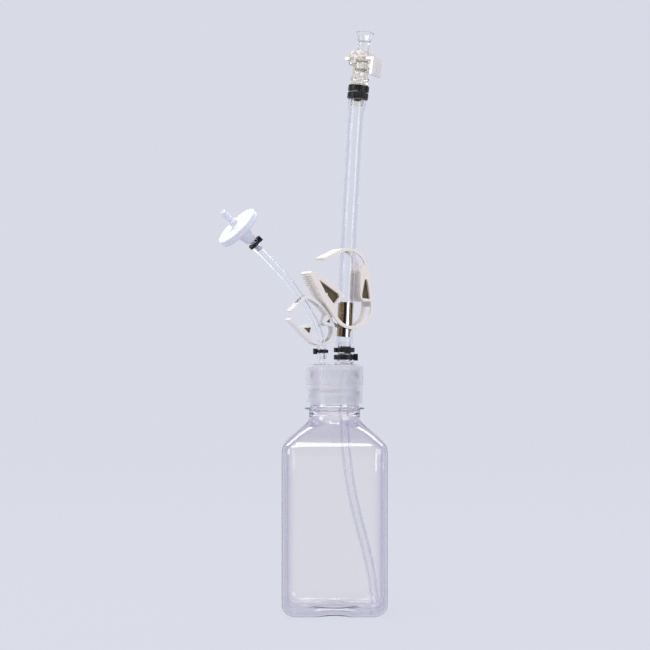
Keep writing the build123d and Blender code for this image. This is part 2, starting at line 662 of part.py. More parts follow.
with BuildPart() as coupling_body:
    revolved(latch_frame, [
        (0, 0), (6.7, 0), (6.7, 3.0), (7.4, 3.3), (7.4, 5.4), (6.6, 5.7), (6.6, FLANGE_BOTTOM),
        (FLANGE_RADIUS - 0.5, FLANGE_BOTTOM), (FLANGE_RADIUS, FLANGE_BOTTOM + 0.5),
        (FLANGE_RADIUS, LATCH_GAP[0]), (FLANGE_RADIUS, LATCH_GAP[1]), (COLLAR_RADIUS, LATCH_GAP[1]),
        (COLLAR_RADIUS, COLLAR_TOP - 2.6), (COLLAR_RADIUS - 1.5, COLLAR_TOP), (0, COLLAR_TOP),
    ])
    barbed_stem(facing_back(latch_frame), 17.0, TRANSFER_BARB, 3)
    with Locations(latch_frame.offset(-17.0)):
        Cylinder(FLOW_BORE, 17.0 + COLLAR_TOP, align=ON_AXIS, mode=Mode.SUBTRACT)
    with Locations(latch_frame.offset(PLUG_BORE_START)):
        Cylinder(PLUG_BORE, COLLAR_TOP - PLUG_BORE_START, align=ON_AXIS, mode=Mode.SUBTRACT)
    with Locations(latch_frame.offset(LATCH_GAP[0])):
        Box(40, LATCH_WIDTH + 0.8, LATCH_GAP[1] - LATCH_GAP[0], align=ON_AXIS, mode=Mode.SUBTRACT)
finish(coupling_body, "coupling_body")

latch_bottom = (LATCH_GAP[0] + LATCH_GAP[1] - LATCH_THICKNESS) / 2
latch_top = latch_bottom + LATCH_THICKNESS
with BuildPart() as latch_plate:
    with BuildSketch(latch_frame.offset(latch_bottom)):
        with Locations((1.6, 0)):
            Rectangle(2 * (TAB_INNER - 1.6) + 2 * TAB_THICKNESS, LATCH_WIDTH)
        with Locations((LATCH_TRAVEL / 2, 0)):
            SlotOverall(2 * 5.05 + LATCH_TRAVEL, 2 * 5.05, mode=Mode.SUBTRACT)
    extrude(amount=LATCH_THICKNESS)
    with Locations(latch_frame.offset(latch_top - TAB_HEIGHT)):
        with Locations((TAB_INNER + TAB_THICKNESS / 2, 0, 0)):
            Box(TAB_THICKNESS, LATCH_WIDTH, TAB_HEIGHT, align=ON_AXIS)
        with Locations(*[(TAB_INNER + TAB_THICKNESS, offset, 1.0) for offset in (-4.8, -2.4, 0, 2.4, 4.8)]):
            Cylinder(0.5, TAB_HEIGHT - 2.5, align=ON_AXIS)
finish(latch_plate, "latch_plate")

spring_start, spring_height = SPRING_PLACE
spring_origin = latch_frame.from_local_coords((spring_start + 0.3, 0, spring_height))
spring_plane = Plane(origin=spring_origin, x_dir=latch_frame.z_dir, z_dir=latch_direction)
with BuildPart() as straight_coil:
    with BuildLine() as coil:
        Helix(SPRING_PITCH, TAB_INNER - spring_start - 0.6, SPRING_RADIUS)
    with BuildSketch(Plane(origin=(SPRING_RADIUS, 0, 0), z_dir=coil.line % 0)):
        Circle(SPRING_WIRE / 2)
    sweep(path=coil.wires()[0], is_frenet=True)

with BuildPart() as latch_spring:
    add(straight_coil.part.moved(spring_plane.location))
finish(latch_spring, "latch_spring")

plug_bottom = PLUG_BORE_START + 0.6
with BuildPart() as sealing_plug:
    revolved(latch_frame, [
        (0, plug_bottom), (4.2, plug_bottom), (PLUG_RADIUS, plug_bottom + 0.8), (PLUG_RADIUS, 11.3),
        (3.5, 11.3), (3.5, 13.0), (PLUG_RADIUS, 13.0), (PLUG_RADIUS, 19.0), (4.2, 19.3), (4.2, 21.6),
        (PLUG_RADIUS, 22.0), (PLUG_RADIUS, 34.0), (5.1, 37.0), (6.0, 39.6), (PLUG_FLARE, 42.0),
        (PLUG_FLARE - 0.2, PLUG_TOP), (PLUG_FLARE - 0.9, PLUG_TOP), (4.6, 39.2), (2.6, 37.2),
        (0, 36.6),
    ])
finish(sealing_plug, "sealing_plug")

with BuildPart() as plug_o_ring:
    with Locations(latch_frame.offset(12.15)):
        Torus(4.22, 0.7)
finish(plug_o_ring, "plug_o_ring")
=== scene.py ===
import bmesh
import bpy
import json
import math
from mathutils import Euler, Matrix, Vector


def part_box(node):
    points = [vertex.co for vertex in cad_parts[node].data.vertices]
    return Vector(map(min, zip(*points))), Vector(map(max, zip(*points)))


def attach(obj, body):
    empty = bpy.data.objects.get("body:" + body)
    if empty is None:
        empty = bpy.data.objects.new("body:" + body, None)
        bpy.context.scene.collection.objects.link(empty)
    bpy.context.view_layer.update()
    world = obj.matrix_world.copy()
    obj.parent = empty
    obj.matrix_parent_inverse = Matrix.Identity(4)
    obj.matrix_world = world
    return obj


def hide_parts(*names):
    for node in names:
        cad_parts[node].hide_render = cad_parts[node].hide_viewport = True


# Sterile liquid-transfer bottle. Metres, in the CAD frame: +Z up, the front is -Y, and both tubes,
# both clamps and the vent filter lie in the tube plane, which is turned about Z. Lengths are given
# in millimetres where they repeat the CAD model's, and MM turns them into metres.
MM = 0.001

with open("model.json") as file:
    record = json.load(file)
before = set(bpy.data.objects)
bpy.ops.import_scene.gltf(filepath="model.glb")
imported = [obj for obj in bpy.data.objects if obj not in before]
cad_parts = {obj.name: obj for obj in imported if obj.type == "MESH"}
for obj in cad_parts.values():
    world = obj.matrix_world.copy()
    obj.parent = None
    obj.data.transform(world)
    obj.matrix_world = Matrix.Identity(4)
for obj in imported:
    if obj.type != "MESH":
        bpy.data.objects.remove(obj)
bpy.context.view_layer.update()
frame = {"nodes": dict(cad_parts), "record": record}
NODES = frame["nodes"]
scene = bpy.context.scene
scene.view_settings.view_transform = "Standard"
CLEAR_WALL_BOUNCES, GLOSSY_BOUNCES = 28, 8      # light crosses many clear walls one behind another
scene.cycles.max_bounces = CLEAR_WALL_BOUNCES
scene.cycles.transmission_bounces = CLEAR_WALL_BOUNCES
scene.cycles.transparent_max_bounces = CLEAR_WALL_BOUNCES
scene.cycles.glossy_bounces = GLOSSY_BOUNCES

# ---------------------------------------------------------------- frames
PLANE_YAW = math.radians(25)
ALONG = Vector((math.cos(PLANE_YAW), math.sin(PLANE_YAW), 0))
FORWARD = Vector((math.sin(PLANE_YAW), -math.cos(PLANE_YAW), 0))
UP = Vector((0, 0, 1))


def place(s, z):
    """Point of the tube plane, from millimetres."""
    return (ALONG * s + UP * z) * MM


def heading_vector(heading):
    """Unit vector in the tube plane; 0 points right and 90 points up."""
    angle = math.radians(heading)
    return ALONG * math.cos(angle) + UP * math.sin(angle)


# ---------------------------------------------------------------- meshes
def link_mesh(name, points, faces, smooth_angle=None):
    """New object from points in metres; smooth_angle in degrees keeps sharper edges sharp."""
    mesh = bpy.data.meshes.new(name)
    mesh.from_pydata([tuple(point) for point in points], [], faces)
    mesh.validate()
    mesh.shade_smooth()
    if smooth_angle is not None:
        mesh.set_sharp_from_angle(angle=math.radians(smooth_angle))
    piece = bpy.data.objects.new(name, mesh)
    scene.collection.objects.link(piece)
    return piece


def ring_faces(rings, closed=False):
    """Quads between rings of equal size; closed joins the last ring to the first."""
    size = len(rings[0])
    faces = []
    count = len(rings) if closed else len(rings) - 1
    for row in range(count):
        below, above = row * size, (row + 1) % len(rings) * size
        for i in range(size):
            j = (i + 1) % size
            faces.append((below + i, below + j, above + j, above + i))
    return faces


def rings_mesh(name, rings, closed=False, cap_start=False, cap_end=False, smooth_angle=None):
    """Surface through rings of points."""
    size = len(rings[0])
    points = [point for ring in rings for point in ring]
    faces = ring_faces(rings, closed)
    if cap_start:
        faces.append(tuple(reversed(range(size))))
    if cap_end:
        faces.append(tuple(range(len(points) - size, len(points))))
    return link_mesh(name, points, faces, smooth_angle)


def spline_line(name, route):
    """Points in metres along the smooth NURBS line of a route given in the tube plane."""
    curve = bpy.data.curves.new(name + "_line", "CURVE")
    curve.dimensions = "3D"
    spline = curve.splines.new("NURBS")
    spline.points.add(len(route) - 1)
    for point, where in zip(spline.points, route):
        point.co = (*place(*where), 1)
    spline.order_u = 3
    spline.use_endpoint_u = True
    spline.resolution_u = 16
    line = bpy.data.objects.new(name + "_line", curve)
    mesh = bpy.data.meshes.new_from_object(line)
    points = [vertex.co.copy() for vertex in mesh.vertices]
    bpy.data.objects.remove(line)
    return points


def line_length(points):
    """Length along a line of points."""
    return sum((after - before).length for before, after in zip(points, points[1:]))


def circle(centre, across, up, radius, sides):
    """Ring of points round a centre."""
    turns = [2 * math.pi * i / sides for i in range(sides)]
    return [centre + (across * math.cos(turn) + up * math.sin(turn)) * radius for turn in turns]


def tube_along(name, points, outer, bore, sides=48):
    """Hollow tube along points; outer and bore give its radii at a distance from the start."""
    outer_rings, bore_rings = [], []
    travelled = 0
    for index, centre in enumerate(points):
        before, after = points[max(index - 1, 0)], points[min(index + 1, len(points) - 1)]
        tangent = (after - before).normalized()
        up = tangent.cross(FORWARD).normalized()
        if index:
            travelled += (centre - points[index - 1]).length
        outer_rings.append(circle(centre, FORWARD, up, outer(travelled), sides))
        bore_rings.append(circle(centre, FORWARD, up, bore(travelled), sides))
    return rings_mesh(name, outer_rings + bore_rings[::-1], closed=True, smooth_angle=50)


def smoothstep(edge0, edge1, value):
    """0 before edge0, 1 after edge1, smooth between."""
    share = min(max((value - edge0) / (edge1 - edge0), 0), 1)
    return share * share * (3 - 2 * share)


# ---------------------------------------------------------------- materials
REFLECTION_STREAK_START = 0.556                    # turns the painted reflection streaks of the steel liner about it
STEEL_TILT = (math.radians(1.35), math.radians(-2.9), 0)
REFLECTION_STREAK_MIRROR = (1, -1, 1)              # the order in which the painted reflection streaks run round the liner


def steel_middle():
    """Middle of the steel liner, which stands nearly upright."""
    low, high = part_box("steel_tube")
    return (Vector(low) + Vector(high)) / 2


def principled(name, colour, roughness, **sockets):
    """Material with one Principled shader; sockets name its other values."""
    material = bpy.data.materials.new(name)
    material.use_nodes = True
    shader = material.node_tree.nodes["Principled BSDF"]
    shader.inputs["Base Color"].default_value = (*colour, 1)
    shader.inputs["Roughness"].default_value = roughness
    for socket, value in sockets.items():
        shader.inputs[socket.replace("_", " ")].default_value = value
    return material


def new_node(material, kind, **settings):
    """Node with its properties or its sockets' values set."""
    node = material.node_tree.nodes.new(kind)
    for key, value in settings.items():
        if hasattr(node, key):
            setattr(node, key, value)
        else:
            node.inputs[key].default_value = value
    return node


def join(material, start, end):
    material.node_tree.links.new(start, end)


def noise(material, scale, detail=4.0, stretch=(1, 1, 1)):
    """Noise in the piece's own coordinates; scale is per metre."""
    where = new_node(material, "ShaderNodeTexCoord")
    mapping = new_node(material, "ShaderNodeMapping")
    mapping.inputs["Scale"].default_value = stretch
    texture = new_node(material, "ShaderNodeTexNoise")
    texture.inputs["Scale"].default_value = scale
    texture.inputs["Detail"].default_value = detail
    join(material, where.outputs["Object"], mapping.inputs["Vector"])
    join(material, mapping.outputs["Vector"], texture.inputs["Vector"])
    return texture.outputs["Fac"]


def mottle(material, first, second, scale, stretch=(1, 1, 1)):
    """Base colour that drifts between two colours."""
    mix = new_node(material, "ShaderNodeMix", data_type="RGBA")
    mix.inputs["A"].default_value = (*first, 1)
    mix.inputs["B"].default_value = (*second, 1)
    join(material, noise(material, scale, stretch=stretch), mix.inputs["Factor"])
    shader = material.node_tree.nodes["Principled BSDF"]
    join(material, mix.outputs["Result"], shader.inputs["Base Color"])


def vary_roughness(material, low, high, scale, stretch=(1, 1, 1)):
    """Roughness that drifts between two values."""
    spread = new_node(material, "ShaderNodeMapRange")
    spread.inputs["To Min"].default_value = low
    spread.inputs["To Max"].default_value = high
    join(material, noise(material, scale, stretch=stretch), spread.inputs["Value"])
    shader = material.node_tree.nodes["Principled BSDF"]
    join(material, spread.outputs["Result"], shader.inputs["Roughness"])


def bump(material, scale, depth, detail=3.0, stretch=(1, 1, 1)):
    """Fine surface relief; depth in metres."""
    relief = new_node(material, "ShaderNodeBump")
    relief.inputs["Strength"].default_value = 1.0
    relief.inputs["Distance"].default_value = depth
    join(material, noise(material, scale, detail, stretch), relief.inputs["Height"])
    shader = material.node_tree.nodes["Principled BSDF"]
    join(material, relief.outputs["Normal"], shader.inputs["Normal"])


def edge_tint_and_shade(material, face_colour, edge_shade_colour, blend):
    """Base colour that turns to another where the surface is seen edge on: partly the tint of thick clear
    plastic, partly painted shade for the dark reflections along its edges.
    """
    facing = new_node(material, "ShaderNodeLayerWeight")
    facing.inputs["Blend"].default_value = blend
    mix = new_node(material, "ShaderNodeMix", data_type="RGBA")
    mix.inputs["A"].default_value = (*face_colour, 1)
    mix.inputs["B"].default_value = (*edge_shade_colour, 1)
    join(material, facing.outputs["Facing"], mix.inputs["Factor"])
    shader = material.node_tree.nodes["Principled BSDF"]
    join(material, mix.outputs["Result"], shader.inputs["Base Color"])


def clear_petg():
    material = principled("clear_petg", (0.99, 0.985, 0.97), 0.02, IOR=1.5, Transmission_Weight=1.0)
    edge_tint_and_shade(material, (0.984, 0.978, 0.964), (0.44, 0.38, 0.62), 0.34)
    bump(material, 60, 0.00002)
    return material


def milky_polypropylene():
    material = principled("milky_polypropylene", (0.84, 0.855, 0.92), 0.32, IOR=1.35, Alpha=0.27,
                          Subsurface_Weight=0.3)
    shader = material.node_tree.nodes["Principled BSDF"]
    shader.inputs["Subsurface Scale"].default_value = 0.003
    shader.inputs["Specular IOR Level"].default_value = 0.3
    mottle(material, (0.86, 0.87, 0.93), (0.82, 0.835, 0.905), 90)
    vary_roughness(material, 0.26, 0.4, 700)
    return material


def clear_silicone():
    material = principled("clear_silicone", (0.98, 0.985, 0.995), 0.03, IOR=1.33,
                          Transmission_Weight=1.0)
    edge_tint_and_shade(material, (0.988, 0.99, 0.995), (0.52, 0.60, 0.80), 0.18)
    vary_roughness(material, 0.03, 0.05, 40)
    return material


def clear_tubing():
    material = principled("clear_tubing", (0.98, 0.98, 0.985), 0.03, IOR=1.4, Transmission_Weight=1.0)
    edge_tint_and_shade(material, (0.985, 0.985, 0.985), (0.40, 0.43, 0.74), 0.28)
    vary_roughness(material, 0.02, 0.04, 40)
    return material


def clear_moulding():
    material = principled("clear_moulding", (0.98, 0.98, 0.98), 0.04, IOR=1.5, Transmission_Weight=1.0)
    edge_tint_and_shade(material, (0.985, 0.985, 0.985), (0.70, 0.72, 0.80), 0.2)
    vary_roughness(material, 0.02, 0.08, 400)
    return material


def silicone_seal():
    material = principled("silicone_seal", (0.86, 0.87, 0.89), 0.4, Transmission_Weight=0.5)
    mottle(material, (0.86, 0.87, 0.89), (0.80, 0.81, 0.84), 200)
    return material


def polished_steel():
    """Drawn and polished tube; streaks of painted reflection fixed to its surface stand for what it
    reflects.
    """
    material = principled("polished_steel", (0.90, 0.86, 0.78), 0.05, Metallic=1.0)
    vary_roughness(material, 0.03, 0.08, 900, stretch=(1, 1, 0.03))
    where = new_node(material, "ShaderNodeTexCoord")
    shift = new_node(material, "ShaderNodeMapping")
    turned = Euler(STEEL_TILT).to_matrix() @ Matrix.Diagonal(REFLECTION_STREAK_MIRROR)
    shift.inputs["Rotation"].default_value = STEEL_TILT
    shift.inputs["Scale"].default_value = REFLECTION_STREAK_MIRROR
    shift.inputs["Location"].default_value = -(turned @ steel_middle())
    parts = new_node(material, "ShaderNodeSeparateXYZ")
    angle = new_node(material, "ShaderNodeMath", operation="ARCTAN2")
    turns = new_node(material, "ShaderNodeMath", operation="MULTIPLY_ADD")
    turns.inputs[1].default_value = 1 / math.pi
    turns.inputs[2].default_value = REFLECTION_STREAK_START
    painted_reflection = new_node(material, "ShaderNodeMath", operation="FRACT")
    ramp = new_node(material, "ShaderNodeValToRGB")
    join(material, where.outputs["Object"], shift.inputs["Vector"])
    join(material, shift.outputs["Vector"], parts.inputs["Vector"])
    join(material, parts.outputs["X"], angle.inputs[0])
    join(material, parts.outputs["Y"], angle.inputs[1])
    join(material, angle.outputs["Value"], turns.inputs[0])
    join(material, turns.outputs["Value"], painted_reflection.inputs[0])
    join(material, painted_reflection.outputs["Value"], ramp.inputs[0])
    # painted reflection: brown, black and white bands stand for the surroundings the steel mirrors
    reflected_brown, dark, light = (0.42, 0.30, 0.15, 1), (0.006, 0.006, 0.006, 1), (0.95, 0.95, 0.95, 1)
    stops = [(0.0, reflected_brown), (0.43, reflected_brown), (0.47, dark), (0.59, dark), (0.62, light), (0.735, light),
             (0.76, dark), (0.78, reflected_brown), (0.87, reflected_brown), (0.90, dark), (0.985, dark)]
    ramp.color_ramp.elements[0].position, ramp.color_ramp.elements[0].color = stops[0]
    ramp.color_ramp.elements[1].position, ramp.color_ramp.elements[1].color = stops[-1]
    for position, colour in stops[1:-1]:
        ramp.color_ramp.elements.new(position).color = colour
    shader = material.node_tree.nodes["Principled BSDF"]
    join(material, ramp.outputs["Color"], shader.inputs["Base Color"])
    return material


def black_nylon():
    material = principled("black_nylon", (0.003, 0.003, 0.004), 0.35)
    material.node_tree.nodes["Principled BSDF"].inputs["Specular IOR Level"].default_value = 0.3
    mottle(material, (0.002, 0.002, 0.003), (0.006, 0.006, 0.008), 700)
    vary_roughness(material, 0.25, 0.45, 1500)
    bump(material, 2500, 0.00002)
    return material


def moulded_plastic(name, light, dark, roughness=0.38):
    material = principled(name, light, roughness, Subsurface_Weight=0.15)
    material.node_tree.nodes["Principled BSDF"].inputs["Subsurface Scale"].default_value = 0.002
    mottle(material, light, dark, 60)
    vary_roughness(material, roughness - 0.05, roughness + 0.08, 800)
    bump(material, 1800, 0.000015)
    return material


def amber_polysulfone():
    material = principled("amber_polysulfone", (0.99, 0.96, 0.88), 0.04, IOR=1.4,
                          Transmission_Weight=1.0)
    edge_tint_and_shade(material, (0.99, 0.972, 0.91), (0.74, 0.52, 0.2), 0.22)
    vary_roughness(material, 0.03, 0.1, 400)
    return material


def shaded_pocket():
    """Plastic deep in a pocket, coloured dark to stand for the shade there."""
    material = principled("shaded_pocket", (0.06, 0.045, 0.02), 0.6)
    mottle(material, (0.20, 0.145, 0.06), (0.004, 0.003, 0.001), 150, stretch=(1, 1, 0.6))
    bump(material, 1800, 0.000015)
    return material


def spring_wire():
    material = principled("spring_wire", (0.7, 0.7, 0.7), 0.25, Metallic=1.0)
    vary_roughness(material, 0.2, 0.35, 3000)
    return material


MATERIALS = {
    "clear_bottle": clear_petg(),
    "milky_closure": milky_polypropylene(),
    "silicone_seal": silicone_seal(),
    "clear_moulding": clear_moulding(),
    "clear_silicone": clear_silicone(),
    "clear_tubing": clear_tubing(),
    "polished_steel": polished_steel(),
    "black_nylon": black_nylon(),
    "ivory_plastic": moulded_plastic("ivory_plastic", (0.82, 0.77, 0.72), (0.78, 0.72, 0.67)),
    "white_plastic": moulded_plastic("white_plastic", (0.80, 0.78, 0.76), (0.76, 0.74, 0.73)),
    "filter_housing": moulded_plastic("filter_housing", (0.70, 0.72, 0.79), (0.66, 0.69, 0.77)),
    "filter_media": moulded_plastic("filter_media", (0.93, 0.93, 0.92), (0.90, 0.90, 0.90), 0.8),
    "amber_plastic": amber_polysulfone(),
    "spring_steel": spring_wire(),
}


def dress(piece, slot):
    """Gives a piece the material of one of the record's slots."""
    piece.data.materials.clear()
    piece.data.materials.append(MATERIALS[slot])


def add_piece(piece, slot, body, *replaced):
    """A new piece: its material, the body it rides on and the CAD nodes it stands for."""
    dress(piece, slot)
    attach(piece, body)
    if replaced:
        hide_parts(*replaced)
    return piece


for part in frame["record"]["subparts"]:
    dress(NODES[part["node"]], part["material_slot"])


# ---------------------------------------------------------------- camera, floor and light
CAMERA_DISTANCE, VIEW_WIDTH, SENSOR_WIDTH = 1.5, 0.52, 36       # the view is 0.52 m wide at the object
CAMERA_PLACE = Vector((-0.0076, -CAMERA_DISTANCE, 0.2287))
camera_data = bpy.data.cameras.new("camera")
camera_data.sensor_width = SENSOR_WIDTH
camera_data.lens = SENSOR_WIDTH * CAMERA_DISTANCE / VIEW_WIDTH
camera = bpy.data.objects.new("camera", camera_data)
camera.location = CAMERA_PLACE
camera.rotation_euler = (math.radians(90), 0, 0)
scene.collection.objects.link(camera)
scene.camera = camera

FLOOR_COLOUR = (0.686, 0.701, 0.791)


def studio_material():
    """Evenly lit paper: mostly its own pale glow, so that no horizon shows."""
    material = bpy.data.materials.new("studio_paper")
    material.use_nodes = True
    tree = material.node_tree
    shader = tree.nodes["Principled BSDF"]
    shader.inputs["Base Color"].default_value = (0.02, 0.02, 0.022, 1)
    shader.inputs["Roughness"].default_value = 1.0
    shader.inputs["Specular IOR Level"].default_value = 0.0
    shader.inputs["Emission Color"].default_value = (*FLOOR_COLOUR, 1)
    shader.inputs["Emission Strength"].default_value = 0.985
    return material


def backdrop():
    """Floor that sweeps up into a wall behind the object."""
    half, reach, bend, height = 3.0, 1.6, 0.8, 3.0
    profile = [(-3.0, 0.0), (reach, 0.0)]
    for step in range(1, 13):
        turn = math.radians(90 * step / 12)
        profile.append((reach + bend * math.sin(turn), bend * (1 - math.cos(turn))))
    profile.append((reach + bend, height))
    rings = [[Vector((x, y, z - 0.0002)) for x in (-half, half)] for y, z in profile]
    points = [point for ring in rings for point in ring]
    faces = [(2 * i, 2 * i + 1, 2 * i + 3, 2 * i + 2) for i in range(len(rings) - 1)]
    sheet = link_mesh("backdrop", points, faces)
    sheet.data.materials.append(studio_material())


backdrop()


def softbox(name, where, target, size, strength):
    """Rectangular light that faces a target; its strength is in watts."""
    light_data = bpy.data.lights.new(name, "AREA")
    light_data.shape = "RECTANGLE"
    light_data.size, light_data.size_y = size
    light_data.energy = strength
    light = bpy.data.objects.new(name, light_data)
    light.location = where
    light.rotation_euler = (Vector(target) - Vector(where)).to_track_quat("-Z", "Y").to_euler()
    scene.collection.objects.link(light)


MIDDLE = (0, 0, 0.23)
softbox("key_top", (-0.35, -0.35, 1.35), MIDDLE, (0.9, 0.9), 12)
softbox("left_box", (-1.3, -0.6, 0.5), MIDDLE, (0.5, 1.1), 7)
softbox("right_box", (1.15, -0.85, 0.4), MIDDLE, (0.8, 1.1), 6)
softbox("ridge_light", (0.0, 0.8, 1.1), (0, 0, 0.13), (1.9, 0.4), 7)

world = bpy.data.worlds.new("studio")
world.use_nodes = True
world.node_tree.nodes["Background"].inputs["Color"].default_value = (0.50, 0.51, 0.56, 1)
world.node_tree.nodes["Background"].inputs["Strength"].default_value = 0.9
scene.world = world


# ---------------------------------------------------------------- tubes
TRANSFER_ROUTE = [
    (8.6, 199.2), (8.6, 219.5), (10.5, 253.5), (11.7, 283.5), (13.5, 314.5),
    (15.4, 343.5), (17.2, 373.5), (18.95, 399.5), (21.9, 421.9),
]
VENT_ROUTE = [
    (-11.0, 201.7), (-11.0, 214.0), (-14.4, 227.0), (-21.2, 238.5), (-29.8, 251.1),
    (-39.3, 263.8), (-49.7, 273.9), (-60.6, 284.2), (-72.0, 294.6),
]
DIP_ROUTE = [
    (8.6, 191.9), (8.6, 165.5), (9.2, 138.5), (12.6, 108.5), (18.9, 79.5),
    (28.0, 49.5), (34.6, 22.5), (36.8, 3.8),
]
TRANSFER_OD, TRANSFER_ID, TRANSFER_END_OD = 12.7 * MM, 9.5 * MM, 14.2 * MM
VENT_OD, VENT_ID, VENT_END_OD = 6.35 * MM, 3.2 * MM, 7.4 * MM
DIP_OD, DIP_ID = 7.6 * MM, 4.8 * MM
STEEL_FROM, STEEL_TO, STEEL_GRIP = 20.1 * MM, 47.8 * MM, 4.45 * MM


def stretched(plain, wide, sleeve, taper, length):
    """Radius along a tube that is wider over the barbs at both ends."""
    def radius(travelled):
        from_end = min(travelled, length - travelled)
        return wide + (plain - wide) * smoothstep(sleeve, sleeve + taper, from_end)
    return radius


def gripping(bore, grip, start, end):
    """The same bore, drawn in where it holds a liner."""
    def radius(travelled):
        share = smoothstep(start - 0.4 * MM, start, travelled) * smoothstep(end + 0.4 * MM, end, travelled)
        return bore(travelled) + (grip - bore(travelled)) * share
    return radius


def tube_piece(node, route, sizes, sleeve, taper, liner=None):
    """Clear tube that stands for its CAD node."""
    outside, inside, end_outside, end_inside = sizes
    points = spline_line(node, route)
    length = line_length(points)
    bore = stretched(inside / 2, end_inside / 2, sleeve, taper, length)
    piece = tube_along(
        node + "_silicone", points,
        stretched(outside / 2, end_outside / 2, sleeve, taper, length),
        gripping(bore, *liner) if liner else bore,
    )
    add_piece(piece, "clear_silicone", "port_assembly", node)


tube_piece(
    "transfer_tube", TRANSFER_ROUTE, (TRANSFER_OD, TRANSFER_ID, TRANSFER_END_OD, 10.56 * MM),
    15 * MM, 4 * MM,
    liner=(STEEL_GRIP, STEEL_FROM, STEEL_TO),
)
tube_piece(
    "vent_tube", VENT_ROUTE, (VENT_OD, VENT_ID, VENT_END_OD, 4.26 * MM), 8 * MM, 2 * MM,
)
dip_line = spline_line("dip_tube", DIP_ROUTE)
add_piece(tube_along("dip_tube_wall", dip_line, lambda travelled: DIP_OD / 2, lambda travelled: DIP_ID / 2),
          "clear_tubing", "port_assembly", "dip_tube")


# ---------------------------------------------------------------- bottle
BODY_HALF, BODY_CORNER, BASE_ROUND, WALL = 41.6, 13.0, 9.5, 1.4
FINISH_RADIUS = 19.4
PITCH, THREAD_DEPTH, THREAD_START, THREAD_TURNS = 4.23, 1.1, 170.0, 1.5
BOTTLE_SIDES = 176


def rounded_square_radius(half, corner, turn):
    """Distance from the middle to a rounded square's edge in one direction."""
    corner = min(corner, half - 0.001)
    c, s = abs(math.cos(turn)), abs(math.sin(turn))
    if c < s:
        c, s = s, c
    centre = half - corner
    if half * s / c <= centre:
        return half / c
    reach = centre * (c + s)
    return reach + math.sqrt(max(reach * reach - 2 * centre * centre + corner * corner, 0))


def catmull(values, steps):
    """Smooth points through a list of tuples."""
    padded = [values[0], *values, values[-1]]
    result = []
    for p0, p1, p2, p3 in zip(padded, padded[1:], padded[2:], padded[3:]):
        for step in range(steps):
            t = step / steps
            result.append(tuple(
                0.5 * (2 * b + (c - a) * t + (2 * a - 5 * b + 4 * c - d) * t * t
                       + (3 * b - a - 3 * c + d) * t**3)
                for a, b, c, d in zip(p0, p1, p2, p3)))
    result.append(values[-1])
    return result


def base_height(x, y):
    """Height of the underside: arches between four feet, and a dome in the middle."""
    arch = max(max(0, math.sqrt(max(58**2 - v * v, 0)) - 56.3) for v in (x, y))
    distance = math.hypot(x, y)
    dome = 3.2 * smoothstep(23.5, 15.5, distance) + 1.2 * smoothstep(17, 0, distance)
    return max(arch, dome)


def body_profile():
    """(height, half width, corner radius) from the foot's edge up to the neck."""
    profile = []
    for step in range(13):
        turn = math.radians(90 * step / 12)
        half = BODY_HALF - BASE_ROUND + BASE_ROUND * math.sin(turn)
        profile.append((BASE_ROUND * (1 - math.cos(turn)), half, half - BODY_HALF + BODY_CORNER))
    for height in (30, 50, 75, 98, 112):
        profile.append((height, BODY_HALF, BODY_CORNER))
    shoulder = [
        (123, 41.6, 12.6), (129.4, 41.5, 11.4), (133.2, 40.6, 10.4), (136.6, 38.0, 9.6), (140.6, 33.6, 9.2),
        (144.6, 29.0, 9.6), (148.2, 24.8, 12.5), (150.6, 22.2, 17.0), (152.4, 20.9, 19.9),
        (154.0, 20.45, 20.4), (155.5, 20.4, 20.39),
    ]
    return profile + catmull(shoulder, 4)


def inset_profile(profile, wall):
    """The same profile moved inward by the wall, square to itself."""
    result = []
    for index, (height, half, corner) in enumerate(profile):
        before, after = profile[max(index - 1, 0)], profile[min(index + 1, len(profile) - 1)]
        rise, run = after[0] - before[0], after[1] - before[1]
        length = math.hypot(rise, run)
        inner_half = half - wall * rise / length
        inner_height = height + wall * run / length
        result.append((inner_height, inner_half, max(corner - half + inner_half, 0.5)))
    return result


def bottle_ring(height, half, corner, lift=0.0):
    """Ring of the body; the lowest rings follow the underside."""
    points = []
    for i in range(BOTTLE_SIDES):
        turn = 2 * math.pi * i / BOTTLE_SIDES
        radius = rounded_square_radius(half, corner, turn)
        x, y = radius * math.cos(turn), radius * math.sin(turn)
        z = height
        if height < 6:
            z = max(height, base_height(x, y) + lift)
        points.append(Vector((x, y, z)) * MM)
    return points


def base_rings(half, corner, lift):
    """Rings of the underside, from the middle to the foot's edge."""
    rings = []
    for step in range(1, 27):
        share = step / 27
        radius = half * share
        squareness = smoothstep(0.62, 1.0, share)
        rings.append(bottle_ring(lift, radius, radius + (corner * share - radius) * squareness, lift))
    return rings


def thread_height(turn, height, start):
    """How far a thread stands out of its wall."""
    for lap in range(3):
        along = turn / (2 * math.pi) + lap
        if 0 <= along <= THREAD_TURNS:
            centre = start + PITCH * along
            end_fade = smoothstep(0, 0.06, along) * smoothstep(THREAD_TURNS, THREAD_TURNS - 0.06, along)
            ridge = THREAD_DEPTH * end_fade * smoothstep(1.2, 0.45, abs(height - centre))
            if ridge > 0:
                return ridge
    return 0


